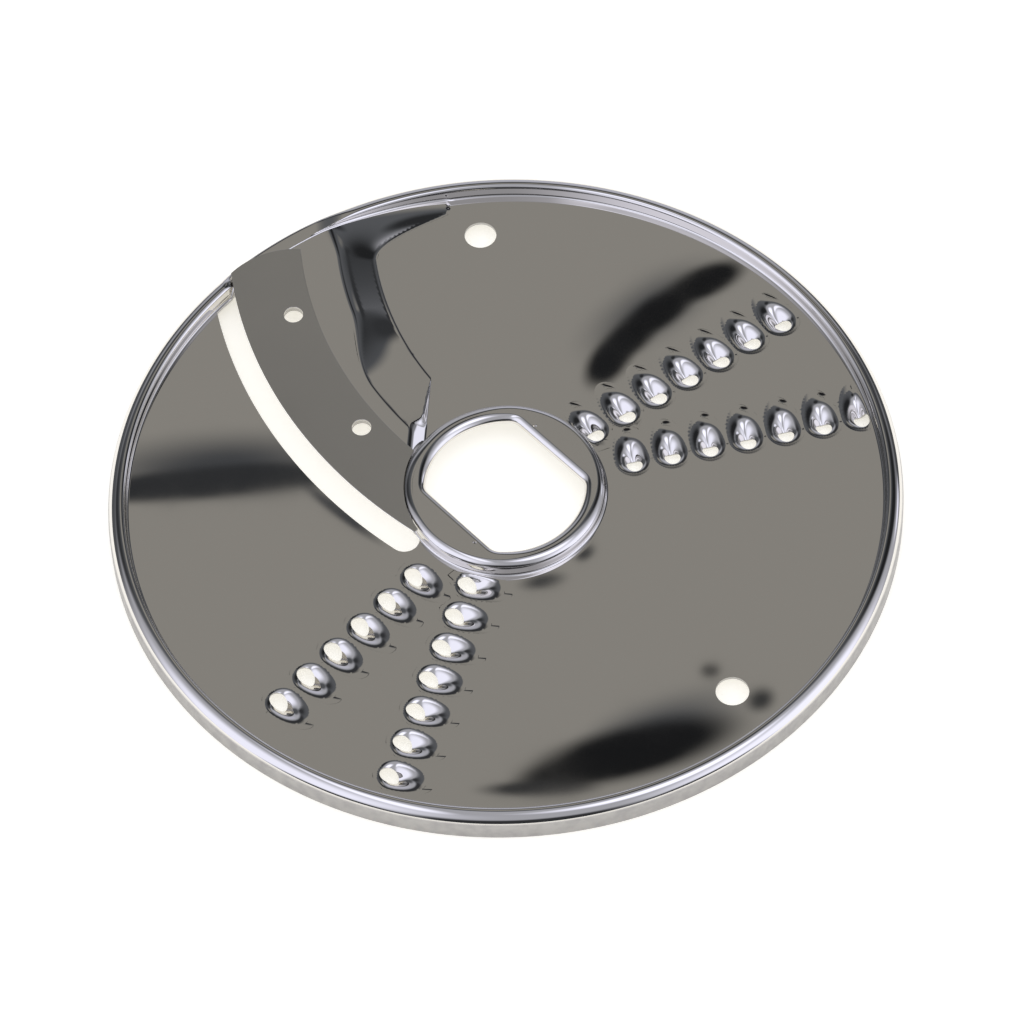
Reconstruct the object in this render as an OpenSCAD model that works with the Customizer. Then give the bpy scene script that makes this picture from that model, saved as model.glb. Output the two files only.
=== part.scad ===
// Slicing and grating disc of a food processor.
// A round sheet of stainless steel is pressed in one piece: a rolled rim, a flat plate, a collar
// with a two-flat spindle hole, a raised land beside a curved slot, and four rows of grating teeth
// pressed downwards. A separate slicing blade is welded on the land, with its edge over the slot.
// The origin is on the spindle axis, at the height of the rim's lower edge, and +Z points up
// through the slicing side. The grating side is underneath.

/* [Sheet] */
// Outside diameter of the disc
disc_d = 145; // [135:1:165]
// Thickness of the pressed sheet
sheet_t = 0.6; // [0.5:0.05:0.8]

/* [Rim] */
// Outside radius of the roll at the top of the rim
roll_r = 2.45; // [2:0.05:3]
// Outside radius of the roll's inner shoulder
shoulder_r = 0.8; // [0.8:0.05:1.2]
// Radius of the hollow between the plate and the rim
rim_foot_r = 0.5; // [0.3:0.05:0.7]
// How far the rim's crest stands above the blade
crest_guard = 0.05; // [0.05:0.05:0.5]
// How far the rim's lower edge stands below the teeth
tooth_guard = 0.05; // [0.05:0.05:1]

/* [Collar] */
// Height of the collar's top above the plate
collar_rise = 2.9; // [2.8:0.05:4]
// Outside radius where the collar's wall turns in to its top
collar_crown_r = 1.5; // [1:0.05:1.5]
// Width of the flat between this bend and the curled edge of the hole's round sides
collar_flat_w = 0.9; // [0.6:0.1:1.6]
// Radius of the hollow between the plate and the collar
collar_foot_r = 1.1; // [0.8:0.05:1.2]

/* [Spindle hole] */
// Diameter of the hole's two round sides
hole_d = 29; // [27:0.2:29]
// Distance across the hole's two flat sides
hole_flats = 22.2; // [20:0.2:23]
// Radius of the hole's corners
hole_corner_r = 2.5; // [1.5:0.1:3]
// Outside radius of the edge that curls down round the hole
hole_lip_r = 1.4; // [1:0.05:1.4]
// Thickness of the curled edge, drawn thinner than the sheet
lip_t = 0.55; // [0.4:0.01:0.57]
// Direction that the first flat faces, from +X
hole_turn = 40; // [0:1:360]
// Height of the two coined nibs on the collar's top
nib_h = 0.25; // [0.1:0.05:0.4]
// Diameter of the two coined nibs
nib_d = 1; // [0.6:0.1:1.6]

/* [Blade] */
// Distance from the spindle axis to the centre of the blade's arcs
arc_offset = 74.3; // [73:0.1:76]
// Direction from the spindle axis to the centre of the blade's arcs
arc_turn = 55.3; // [50:0.1:60]
// How far inside the collar's wall the circle of the cutting edge passes
edge_pass = 0.5; // [0:0.1:1]
// Width of the blade
blade_w = 13.5; // [12:0.1:14.5]
// Thickness of the blade
blade_t = 0.6; // [0.4:0.05:0.8]
// Width of the ground bevel under the cutting edge
bevel_w = 1.2; // [0.6:0.1:1.6]
// Thickness left at the cutting edge
edge_t = 0.08; // [0.04:0.01:0.2]
// Height of the cutting edge above the plate, which is the thickness of a slice
slice_t = 2.5; // [2.2:0.05:3.5]
// Radius of the blade's outer end about its outer weld hole
blade_end_r = 15.6; // [14:0.1:16]
// Gap between the blade's inner end and the collar
blade_gap = 0.15; // [0.1:0.05:0.5]
// Gap between the blade and the notch in the rim
notch_gap = 0.2; // [0.1:0.05:0.5]
// Diameter of the two holes through blade and land
weld_hole_d = 3.6; // [3:0.1:4]
// Distance of these holes behind the cutting edge
weld_hole_back = 9.6; // [7:0.1:10.5]
// Turn of the outer and the inner hole about the centre of the blade's arcs
weld_hole_turns = [-41.4, -20.9];
// How far the front corner of the blade's inner end stands out from the collar
blade_corner_gap = 1; // [0.6:0.1:1.6]

/* [Slot and land] */
// Width of the gap in front of the cutting edge
slot_gap = 3.8; // [3:0.1:4.5]
// How far the blade overhangs the front of the land
overhang = 1.7; // [1.6:0.1:2.5]
// How far the slot's round end reaches under the bend at the foot of the collar
slot_end_reach = 1.25; // [0.9:0.05:1.3]
// Width of the flat of the land behind the blade
land_back_w = 2.6; // [1.5:0.1:4]
// Width of the ramp from the land down to the plate
ramp_w = 11.6; // [10:0.1:14]
// Radius of the bends at the top and the foot of the ramp
ramp_bend_r = 8; // [4:0.5:10]
// Distance from the spindle axis to the corner where the ramp and its end wall reach the plate
ramp_corner_r = 29.8; // [28:0.1:32]
// Direction of this corner
ramp_corner_turn = 115.2; // [112:0.1:118]
// Direction in which the foot of the end wall runs from this corner
end_wall_turn = 263.5; // [258:0.1:268]
// Slope of the ramp's end wall
end_wall_slope = 38; // [30:1:50]
// Length over which the rim falls to the blade's seat
rim_fall_l = 11; // [8:0.5:14]

/* [Grating teeth] */
// Depth of a tooth's pocket below the top of the plate
tooth_depth = 2; // [1.6:0.05:2.4]
// Length of a pocket at the top of the plate
pocket_l = 6.6; // [6.2:0.1:7.2]
// Width of a pocket at the top of the plate
pocket_w = 5.4; // [5:0.1:5.6]
// Diameter of the opening in front of a pocket
tooth_hole_d = 3.7; // [3.2:0.1:4]
// Distance from the opening's centre back to the pocket's centre
pocket_back = 3.15; // [2.8:0.05:3.5]
// Distance between the teeth of a row
tooth_pitch = 7.14; // [7:0.01:8]
// Gap in the radius between the collar's wall and the first opening of the near and the far rows
row_starts = [2.75, 6.1];
// Teeth in each of the four rows
row_counts = [6, 7, 7, 7];
// Direction of each row
row_turns = [-134.1, -110.8, 32.7, 10.1];
// Which start each row has, 0 for near and 1 for far
row_kinds = [1, 0, 0, 1];
// How far the last pocket of a row may reach under the rim
rim_lap = 0.9; // [0:0.1:1.2]
// How far each row's openings lie ahead of the spindle axis, in the cutting direction
row_leads = [0.5, 0.25, -1.1, -0.8];

/* [Finger holes] */
// Diameter of the two finger holes
finger_hole_d = 6; // [5:0.1:8]
// Flat sheet between a finger hole and the foot of the rim's inner wall
finger_hole_gap = 5.85; // [3:0.05:9]
// Direction of each finger hole
finger_hole_turns = [92.2, -49.9];

/* [Hidden] */
$fn = 96;
steel = [0.72, 0.71, 0.69];
blade_steel = [0.62, 0.61, 0.59];

over = 1;                       // how far a cutter runs past what it cuts
seam = 0.2;                     // how far two solids of one sheet lap over each other
bend_lift = 0.02;               // how far a bend's crest stands above the flat that it meets
corner_push = 0.03;             // how far a corner is pushed out past the flat and the arc
end_inset = 0.02;               // how far the slot's round end stays inside the slot's walls
disc_r = disc_d / 2;
plate_z = tooth_depth + sheet_t + tooth_guard;
rim_top = plate_z + slice_t + crest_guard;
land_z = plate_z + slice_t - blade_t;
roll_x = disc_r - roll_r;
roll_z = rim_top - roll_r;
flank_r = roll_x - shoulder_r;
rim_foot_x = flank_r - rim_foot_r;
finger_hole_r = rim_foot_x - finger_hole_gap - finger_hole_d / 2;

collar_r = hole_d / 2 + hole_lip_r + collar_flat_w + collar_crown_r;
collar_top = plate_z + collar_rise;
crown_x = collar_r - collar_crown_r;
crown_z = collar_top - collar_crown_r;
collar_foot_x = collar_r + collar_foot_r;
collar_foot_z = plate_z + collar_foot_r;

corner_n = hole_flats / 2 - hole_corner_r;
corner_t = sqrt(pow(hole_d / 2 - hole_corner_r, 2) - pow(corner_n, 2));
corner_angle = atan2(corner_t, corner_n);
lip_z = collar_top - hole_lip_r;
nib_n = hole_flats / 2 + hole_lip_r + nib_d / 4;
nib_t = corner_t - hole_corner_r;

cut_r = arc_offset + collar_r - edge_pass;
weld_hole_r = cut_r - weld_hole_back;
blade_back_r = cut_r - blade_w;
land_front_r = cut_r - overhang;
crease_r = blade_back_r - land_back_w;
ramp_foot_r = crease_r - ramp_w;
slot_front_r = cut_r + slot_gap;
slot_mid_r = (land_front_r + slot_front_r) / 2;
slot_end_r = (slot_front_r - land_front_r) / 2 - end_inset;
slot_end_turn = turn_at(slot_mid_r, collar_foot_x - slot_end_reach + slot_end_r);
blade_end_turn = turn_at(cut_r, collar_r + blade_corner_gap);
sweep_start = -62;              // a turn beyond the rim, where every sweep about the arcs starts
sweep_facets = 360;             // facets of a whole turn of such a sweep
rim_sweep_end = -30;            // a turn well inside the rim, where the sweeps across it end
far = 200;                      // larger than the disc
ramp_sink = 0.05;               // how far the ramp's foot starts below the top of the plate

pocket_r = (pow(pocket_w / 2, 2) + pow(tooth_depth, 2)) / (2 * tooth_depth);
pocket_z = plate_z - tooth_depth + pocket_r;
pocket_half = (pocket_l - pocket_w) / 2;

// Turn at which an arc about the centre of the blade's arcs is at a distance from the spindle axis
function turn_at(r, distance) =
    -acos((arc_offset * arc_offset + r * r - distance * distance) / (2 * arc_offset * r));

// Teeth that fit between a row's start and the rim
function row_start(row) = collar_r + row_starts[row_kinds[row]];
function row_length(row) =
    min(row_counts[row],
        floor((flank_r + rim_lap - pocket_w / 2 - row_start(row)) / tooth_pitch) + 1);

// One quarter of a ring, from the turn given
module ring_quarter(r_out, r_in, turn) {
    intersection() {
        difference() {
            circle(r_out);
            circle(r_in);
        }
        rotate(turn) square(r_out + over);
    }
}

// Upright ring between two radii
module tube(r_in, r_out, z0, z1) {
    translate([0, 0, z0])
        linear_extrude(z1 - z0)
            difference() {
                circle(r_out);
                circle(r_in);
            }
}

// Section through the rim, the plate and the collar's wall
module sheet_section() {
    translate([disc_r - sheet_t, 0]) square([sheet_t, roll_z]);
    translate([roll_x, roll_z]) ring_quarter(roll_r, roll_r - sheet_t, 0);
    translate([roll_x, rim_top - shoulder_r]) ring_quarter(shoulder_r, shoulder_r - sheet_t, 90);
    translate([flank_r, plate_z + rim_foot_r])
        square([sheet_t, rim_top - shoulder_r - plate_z - rim_foot_r]);
    translate([rim_foot_x, plate_z + rim_foot_r]) ring_quarter(rim_foot_r + sheet_t, rim_foot_r, 270);
    translate([collar_foot_x, plate_z - sheet_t]) square([rim_foot_x - collar_foot_x, sheet_t]);
    translate([collar_foot_x, collar_foot_z]) ring_quarter(collar_foot_r + sheet_t, collar_foot_r, 180);
    translate([collar_r - sheet_t, collar_foot_z]) square([sheet_t, crown_z - collar_foot_z]);
    translate([crown_x, crown_z]) ring_quarter(collar_crown_r, collar_crown_r - sheet_t, 0);
    translate([crown_x - 2 * seam, collar_top - sheet_t]) square([2 * seam, sheet_t]);
}

// Upright section beside the hole's edge, out to a hollow bend; r is the edge's own radius
module edge_section(r, z_low, z_high, bend_z, bend_r) {
    difference() {
        translate([0, z_low]) square([r + hole_lip_r, z_high - z_low]);
        translate([r + hole_lip_r, bend_z]) circle(bend_r);
    }
}

// Filling of the spindle hole that flares outwards along the bend: two flats, two arcs and
// four corners, which are pushed out a little so that they cross the flats and the arcs
module hole_flare(z_low, z_high, bend_z, bend_r) {
    rotate([90, 0, 0])
        linear_extrude(2 * corner_t, center = true)
            for (side = [0, 1])
                mirror([side, 0]) edge_section(hole_flats / 2, z_low, z_high, bend_z, bend_r);
    for (n = [-1, 1], t = [-1, 1])
        translate([n * (corner_n + corner_push * cos(corner_angle / 2)),
                   t * (corner_t + corner_push * sin(corner_angle / 2)), 0])
            rotate_extrude() edge_section(hole_corner_r, z_low, z_high, bend_z, bend_r);
    intersection() {
        rotate_extrude() edge_section(hole_d / 2, z_low, z_high, bend_z, bend_r);
        translate([0, 0, z_low - over])
            linear_extrude(z_high - z_low + 2 * over)
                for (side = [0, 180])
                    rotate(side)
                        polygon([[0, 0], far * [cos(corner_angle), sin(corner_angle)],
                                 far * [-cos(corner_angle), sin(corner_angle)]]);
    }
}

// Flat top of the collar with its curled hole and two nibs
module collar_top() {
    rotate(hole_turn)
        difference() {
            union() {
                translate([0, 0, collar_top - sheet_t]) cylinder(h = sheet_t, r = crown_x - seam);
                hole_flare(lip_z, collar_top - sheet_t / 2, lip_z, hole_lip_r - lip_t);
                for (side = [0, 180])
                    rotate(side)
                        translate([nib_n, nib_t, collar_top - sheet_t / 2])
                            cylinder(h = sheet_t / 2 + nib_h, d1 = nib_d, d2 = nib_d / 2);
            }
            hole_flare(lip_z - over, collar_top + over, lip_z + bend_lift, hole_lip_r);
        }
}

// Moves a child to the centre of the blade's arcs, with +X back towards the spindle axis
module at_arcs() {
    rotate(arc_turn) translate([arc_offset, 0, 0]) rotate(180) children();
}

// Sweep about the centre of the blade's arcs, from beyond the rim to the turn given
module arc_sweep(end_turn) {
    at_arcs()
        rotate(sweep_start)
            rotate_extrude(angle = end_turn - sweep_start, $fn = sweep_facets)
                children();
}

// Height of the ramp at a share s of its width: two bends of the same radius and a straight slope
bend_angle = ramp_slope(land_z - plate_z + ramp_sink, ramp_w, ramp_bend_r);
function ramp_slope(h, w, r) =
    2 * atan((w - sqrt(w * w - h * (4 * r - h))) / (4 * r - h));
bend_steps = 3;
function bend_point(i) =
    let (a = bend_angle * i / bend_steps) [ramp_bend_r * sin(a), ramp_bend_r * (1 - cos(a))];

// Solid below a plane that rises from the foot of the ramp's end wall towards the land
module end_wall_wedge(base, foot_w) {
    rotate(ramp_corner_turn)
        translate([ramp_corner_r, 0, 0])
            rotate(end_wall_turn - ramp_corner_turn)
                rotate([90, 0, 90])
                    linear_extrude(far, center = true)
                        polygon([[foot_w, -2 * over], [foot_w, base], [0, base],
                                 [-far, base + far * tan(end_wall_slope)], [-far, -2 * over]]);
}

// Solid below the raised land, its ramp and its end wall, lowered by drop, between two radii
module land_fill(drop, r_in, r_out) {
    base = plate_z - ramp_sink - drop;
    top = land_z - drop;
    foot = [ramp_foot_r, base];
    crease = [crease_r, top];
    front_r = land_front_r + seam + drop;
    intersection() {
        arc_sweep(0)
            polygon(concat(
                [[ramp_foot_r - drop, -over - drop], [ramp_foot_r - drop, base]],
                [for (i = [0 : bend_steps]) foot + bend_point(i)],
                [for (i = [bend_steps : -1 : 0]) crease - bend_point(i)],
                [[front_r, top], [front_r, -over - drop]]));
        tube(r_in, r_out, -2 * over, rim_top);
        end_wall_wedge(base, drop);
    }
}

// Raised land that carries the blade, still solid underneath
module land() {
    land_fill(0, collar_r - sheet_t / 2, flank_r + sheet_t / 2);
}

// Recess under the land, open to the hollows of the collar and the rim
module land_recess() {
    land_fill(sheet_t, collar_r - sheet_t - seam, roll_x);
}

// Flat seat across the rim, on which the blade's outer end lies
module rim_seat() {
    intersection() {
        arc_sweep(rim_sweep_end)
            translate([blade_back_r - notch_gap - roll_r / 2, land_z - sheet_t])
                square([blade_w + 2 * notch_gap + roll_r / 2, sheet_t]);
        tube(flank_r, disc_r - roll_r / 2, 0, rim_top);
    }
}

// Notch that flattens the roll for the blade, with a long fall behind it
module rim_notch() {
    intersection() {
        arc_sweep(rim_sweep_end)
            polygon([[blade_back_r - notch_gap - rim_fall_l, rim_top],
                     [blade_back_r - notch_gap, land_z], [cut_r + notch_gap, land_z],
                     [cut_r + notch_gap, rim_top + over],
                     [blade_back_r - notch_gap - rim_fall_l, rim_top + over]]);
        tube(flank_r - over, disc_r + over, 0, rim_top + 2 * over);
    }
}

// Curved slot in front of the blade, with a round inner end at the collar
module slot() {
    intersection() {
        union() {
            arc_sweep(slot_end_turn)
                translate([land_front_r, -2 * over])
                    square([slot_front_r - land_front_r, rim_top + 2 * over]);
            at_arcs()
                rotate(slot_end_turn)
                    translate([slot_mid_r, 0, -2 * over])
                        cylinder(h = rim_top + 2 * over, r = slot_end_r);
        }
        tube(collar_r, flank_r, -3 * over, rim_top + over);
    }
}

// Puts a child at the opening of every tooth, with the cutting direction along -Y
module at_teeth() {
    for (row = [0 : len(row_turns) - 1], k = [0 : row_length(row) - 1])
        rotate(row_turns[row])
            translate([row_start(row) + k * tooth_pitch, -row_leads[row], 0])
                children();
}

// Round-ended trough of a pocket, grown by the sheet's thickness for its outside
module trough(grow) {
    r = pocket_r + grow;
    translate([0, pocket_back, pocket_z])
        rotate([90, 0, 0])
            rotate_extrude() {
                translate([0, -pocket_half]) square([r, 2 * pocket_half]);
                translate([0, pocket_half]) ring_quarter(r, 0, 0);
                translate([0, -pocket_half]) ring_quarter(r, 0, 270);
            }
}

// Outsides of all the pockets, from the middle of the sheet downwards
module pocket_shells() {
    intersection() {
        at_teeth() trough(sheet_t);
        tube(0, disc_r - 2 * sheet_t, 0, plate_z - sheet_t / 2);
    }
}

// Insides of all the pockets and the openings in front of them
module pocket_cuts() {
    intersection() {
        at_teeth() {
            trough(0);
            translate([0, 0, -over]) cylinder(h = plate_z + 2 * over, d = tooth_hole_d);
        }
        tube(collar_foot_x, rim_foot_x, -2 * over, rim_top + 2 * over);
    }
}

// Puts a child at the two weld holes through the blade and the land
module at_weld_holes() {
    at_arcs()
        for (turn = weld_hole_turns)
            rotate(turn) translate([weld_hole_r, 0, 0]) children();
}

// Pressed disc, one sheet throughout
module disc() {
    color(steel)
        difference() {
            union() {
                rotate_extrude() sheet_section();
                collar_top();
                pocket_shells();
                land();
            }
            land_recess();
            rim_notch();
            slot();
            pocket_cuts();
            for (turn = finger_hole_turns)
                rotate(turn)
                    translate([finger_hole_r, 0, 0]) cylinder(h = rim_top, d = finger_hole_d);
            at_weld_holes() cylinder(h = rim_top, d = weld_hole_d);
        }
    color(steel) rim_seat();
}

// Blade strip with a bevel ground under its edge, welded flat on the land
module slicing_blade() {
    color(blade_steel)
        difference() {
            arc_sweep(blade_end_turn)
                polygon([[blade_back_r, land_z], [cut_r - bevel_w, land_z],
                         [cut_r, land_z + blade_t - edge_t], [cut_r, land_z + blade_t],
                         [blade_back_r, land_z + blade_t]]);
            cylinder(h = collar_top, r = collar_r + blade_gap);
            at_weld_holes() cylinder(h = collar_top, d = weld_hole_d);
            at_arcs()
                rotate(weld_hole_turns[0])
                    difference() {
                        translate([0, -far, 0]) cube([far, far, rim_top + over]);
                        translate([weld_hole_r, 0, -over])
                            cylinder(h = rim_top + 3 * over, r = blade_end_r);
                    }
        }
}

disc();
slicing_blade();
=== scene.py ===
import math

import bmesh
import bpy
import numpy as np
from mathutils import Matrix, Vector
from mathutils.geometry import delaunay_2d_cdt
from mathutils.kdtree import KDTree


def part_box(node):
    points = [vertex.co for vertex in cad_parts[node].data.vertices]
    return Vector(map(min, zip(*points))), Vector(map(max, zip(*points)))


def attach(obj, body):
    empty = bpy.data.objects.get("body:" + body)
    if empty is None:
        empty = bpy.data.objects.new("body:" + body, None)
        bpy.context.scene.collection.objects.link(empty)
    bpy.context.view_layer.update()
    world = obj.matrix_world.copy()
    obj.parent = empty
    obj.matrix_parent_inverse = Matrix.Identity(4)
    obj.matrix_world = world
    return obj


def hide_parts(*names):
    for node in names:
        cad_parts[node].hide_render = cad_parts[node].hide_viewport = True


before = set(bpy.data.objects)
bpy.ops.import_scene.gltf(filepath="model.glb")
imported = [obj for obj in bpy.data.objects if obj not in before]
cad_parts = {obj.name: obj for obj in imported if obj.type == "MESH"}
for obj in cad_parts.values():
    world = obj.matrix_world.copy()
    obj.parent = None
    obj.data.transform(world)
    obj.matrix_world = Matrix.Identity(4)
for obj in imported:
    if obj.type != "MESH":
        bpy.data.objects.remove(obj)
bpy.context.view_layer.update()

# Ramp and land. The plate of the pressed stainless sheet rises over a long, soft ramp to a raised
# land that carries the blade. The land ends in a slanting wall beside the collar. All heights are
# in millimetres above the plate, and (x, y) is measured from the spindle axis.
mm = 0.001
disc_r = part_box("disc")[1].x / mm
blade_low, blade_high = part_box("slicing_blade")
sheet_t = 0.6
plate_z = 2.65
land_h = blade_low.z / mm - plate_z

arc_offset = 74.3
arc_turn = 55.3
cut_r = 92.1
overhang = 1.7
crease_r = 76.0
ramp_w = 11.6
ramp_bend_r = 5.0
funnel_bend_r = 7.5
funnel_shift = 3.5
crease_draw = 3.2
fan_reach = 18.0
fan_draw = 5.0
fan_bend = 20.0
ramp_foot_r = crease_r - ramp_w
land_front_r = cut_r - overhang
slot_front_r = 95.9
slot_end_turn = -6.19
wall_corner_r = 29.8
wall_corner_turn = 115.2
wall_turn = 263.5
wall_rise = math.tan(math.radians(38))
wall_steep = math.tan(math.radians(64))
wall_round = 0.15
crest_round = 0.5
funnel_turns = (-40, -26)
fan_turns = (-64, -50)
steep_ends = (9.0, 12.0)


def polar(radius, degrees):
    angle = np.radians(degrees)
    return np.stack([radius * np.cos(angle), radius * np.sin(angle)], -1)


arc_centre = polar(arc_offset, arc_turn)
wall_corner = polar(wall_corner_r, wall_corner_turn)
wall_normal = polar(1.0, wall_turn - 90)


def arc_point(radius, turn):
    return arc_centre - polar(radius, arc_turn + np.asarray(turn, float))


def smooth_step(low, high, x):
    s = np.clip((x - low) / (high - low), 0, 1)
    return s * s * (3 - 2 * s)


def ramp_height(s, width, foot_bend, crest_bend):
    span = 2 * (foot_bend + crest_bend) - land_h
    slope = 2 * np.arctan((width - np.sqrt(np.maximum(width**2 - land_h * span, 0))) / span)
    bend_s = foot_bend * np.sin(slope)
    bend_end = width - crest_bend * np.sin(slope)
    near = np.clip(s, 0, bend_s)
    far = np.clip(width - s, 0, width - bend_end)
    foot = foot_bend - np.sqrt(foot_bend**2 - near**2)
    crest = land_h - crest_bend + np.sqrt(crest_bend**2 - far**2)
    middle = foot_bend * (1 - np.cos(slope)) + (s - bend_s) * np.tan(slope)
    return np.where(s < bend_s, foot, np.where(s > bend_end, crest, middle))


def arc_place(p):
    arc_r = np.linalg.norm(p - arc_centre, axis=-1)
    turn = np.degrees(np.arctan2(*(arc_centre - p).T[::-1])) - arc_turn
    return arc_r, turn


def fan_share(turn):
    return 1 - smooth_step(*fan_turns, turn)


def land_height(p):
    arc_r, turn = arc_place(p)
    funnel = 1 - smooth_step(*funnel_turns, turn)
    fan = fan_share(turn)
    crest_r = crease_r - crease_draw * funnel + fan_draw * fan
    foot_r = ramp_foot_r - fan_reach * fan
    bend_r = ramp_bend_r + (funnel_bend_r - ramp_bend_r) * funnel
    foot_bend = bend_r - funnel_shift * funnel + fan_bend * fan
    crest_bend = bend_r + funnel_shift * funnel + fan_bend * fan
    ramp = ramp_height(arc_r - foot_r, crest_r - foot_r, foot_bend, crest_bend)
    down_wall = (p - wall_corner) @ polar(1.0, wall_turn)
    rise = wall_rise + (wall_steep - wall_rise) * (1 - smooth_step(*steep_ends, down_wall))
    climb = (p - wall_corner) @ wall_normal * rise
    wall_foot = np.maximum(climb + wall_round, 0) ** 2 / (4 * wall_round)
    wall = np.where(climb > wall_round, climb, wall_foot)
    blend = crest_round * np.clip(ramp / crest_round, 0.01, 1)
    lower = np.minimum(ramp, wall)
    lower = lower - blend * np.maximum(1 - np.abs(ramp - wall) / blend, 0) ** 2 / 4
    return np.where(arc_r < cut_r, np.maximum(lower, 0), 0.0)


# Grating teeth. Each is a round-ended pocket pressed down out of the plate behind a punched
# opening, so that its front lip stands below the sheet. The press drew the sheet in a little
# around every pocket, and left the pocket's mouth rounded.
tooth_pitch = 7.14
row_starts = [24.4, 21.05, 21.05, 24.4]
row_counts = [6, 7, 7, 7]
row_turns = [-134.1, -110.8, 32.7, 10.1]
row_leads = [0.5, 0.25, -1.1, -0.8]
tooth_depth = 2.0
pocket_back = 3.15
pocket_deepest = -2.2
scoop_w = 3.05
scoop_back = 6.0
scoop_front = 3.0
scoop_bell = 4.5
collar_edge = 18.9
tooth_hole_w = 1.45
tooth_hole_l = 1.72
dent_depth = 0.09
dent_w = 3.57
dent_back = 7.8
dent_front = 3.8
rim_foot_x = 68.75
rim_fade = (1.4, 0.1)
collar_fade = 1.0

teeth = []
for start, count, turn, lead in zip(row_starts, row_counts, row_turns, row_leads):
    across = polar(1.0, turn)
    back = polar(1.0, turn + 90)
    for k in range(count):
        hole = (start + k * tooth_pitch) * across - lead * back
        teeth.append((hole, hole + pocket_back * back, across, back))


def pocket_height(u, v):
    along = v - pocket_deepest
    q = (u / scoop_w) ** 2 + (along / np.where(along > 0, scoop_back, scoop_front)) ** 2
    rest = math.exp(-scoop_bell)
    return -tooth_depth * np.maximum(np.exp(-scoop_bell * q) - rest, 0) / (1 - rest)


def teeth_height(p):
    sink = np.zeros(len(p))
    dent = np.zeros(len(p))
    for hole, pocket, across, back in teeth:
        u = (p - pocket) @ across
        v = (p - pocket) @ back
        sink = np.minimum(sink, pocket_height(u, v))
        along = v - pocket_deepest
        e = np.hypot(u / dent_w, along / np.where(along > 0, dent_back, dent_front))
        dent = np.minimum(dent, -dent_depth * np.clip(1 - e**3, 0, 1))
    reach = np.linalg.norm(p, axis=-1)
    short_of_rim = 1 - smooth_step(rim_foot_x - rim_fade[0], rim_foot_x - rim_fade[1], reach)
    off_collar = smooth_step(collar_edge, collar_edge + collar_fade, reach)
    return (sink + dent) * short_of_rim * off_collar


# Collar foot. The sheet turns up out of the plate in a small bend to form the raised collar, and
# the bend is flatter where the land runs into the collar.
collar_r = 18.3
collar_rise = 2.9
collar_foot_r = 0.5
collar_join_r = 18.45


def foot_height(radius):
    s = np.clip(collar_r + collar_foot_r - radius, 0, collar_foot_r)
    return collar_foot_r - np.sqrt(collar_foot_r**2 - s**2)


def sheet_height(p):
    land = land_height(p)
    squeeze = (collar_rise - land) / collar_rise
    foot = foot_height(np.linalg.norm(p, axis=-1))
    return land + foot * squeeze + teeth_height(p)


def sheet_normal(p):
    step = 0.01
    dx = np.array([step, 0.0])
    dy = np.array([0.0, step])
    slope_x = (sheet_height(p + dx) - sheet_height(p - dx)) / (2 * step)
    slope_y = (sheet_height(p + dy) - sheet_height(p - dy)) / (2 * step)
    n = np.stack([-slope_x, -slope_y, np.ones(len(p))], -1)
    return n / np.linalg.norm(n, axis=-1, keepdims=True)


# Plate with its openings. The curved slot runs from the rim to the collar, an oval opening is
# punched in front of each pocket, and there are two finger holes and two weld holes. The sheet is
# laid out as a fine net of triangles, closest where it is pressed into tight shapes.
rim_steps = 512
hub_steps = 256
finger_hole_r = 3.0
finger_hole_reach = 59.9
finger_hole_turns = np.array([92.2, -49.9])
finger_holes = polar(finger_hole_reach, finger_hole_turns)
weld_hole_r = 1.8
weld_hole_back = 9.6
weld_hole_turns = np.array([-41.4, -20.9])
weld_holes = arc_point(cut_r - weld_hole_back, weld_hole_turns)
slot_margin = 0.15
slot_rim_r = rim_foot_x - slot_margin
slot_hub_r = collar_join_r + slot_margin
slot_steps = 90
tooth_hole_gap = 0.36
mouth_rings = (0.25, 0.6)
pocket_rings = np.linspace(0.06, 1.06, 17)
dent_rings = (0.8, 0.88, 0.94, 0.975, 1.0, 1.03)
dent_ring_gap = 0.6
wall_row_places = (-0.3, -0.1, 0.02, 0.14, 0.26, 0.38, 0.5, 0.65, 0.8, 1.0, 1.2, 1.5, 1.8, 2.1, 2.3,
                   2.5, 2.7, 2.9, 3.2)
wall_row_ends = (-6, 18)
wall_row_gap = 0.3
collar_rings = (18.55, 18.67, 18.8, 19.1)
collar_ring_turn = 0.35
ramp_margin = 1.0
fan_margin = 3.0
ramp_net_end = -2.0
wall_net_ends = (-1.5, 4.5)
ramp_spacing = 0.55
plate_spacing = 2.2


def circle(centre, radius, count):
    return centre + polar(radius, np.arange(count) * 360 / count)


def oval(centre, across, back, half_w, half_back, half_front, gap):
    count = round(math.pi * (half_w + (half_back + half_front) / 2) / gap)
    turns = np.linspace(0, 2 * math.pi, max(count, 6), endpoint=False)
    v = np.sin(turns) * np.where(np.sin(turns) > 0, half_back, half_front)
    return centre + np.outer(half_w * np.cos(turns), across) + np.outer(v, back)


def tooth_hole(tooth, wider):
    hole, pocket, across, back = tooth
    half_l = tooth_hole_l + wider
    return oval(hole, across, back, tooth_hole_w + wider, half_l, half_l, tooth_hole_gap)


def turn_at(radius, reach):
    share = (arc_offset**2 + radius**2 - reach**2) / (2 * arc_offset * radius)
    return -math.degrees(math.acos(share))


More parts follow.
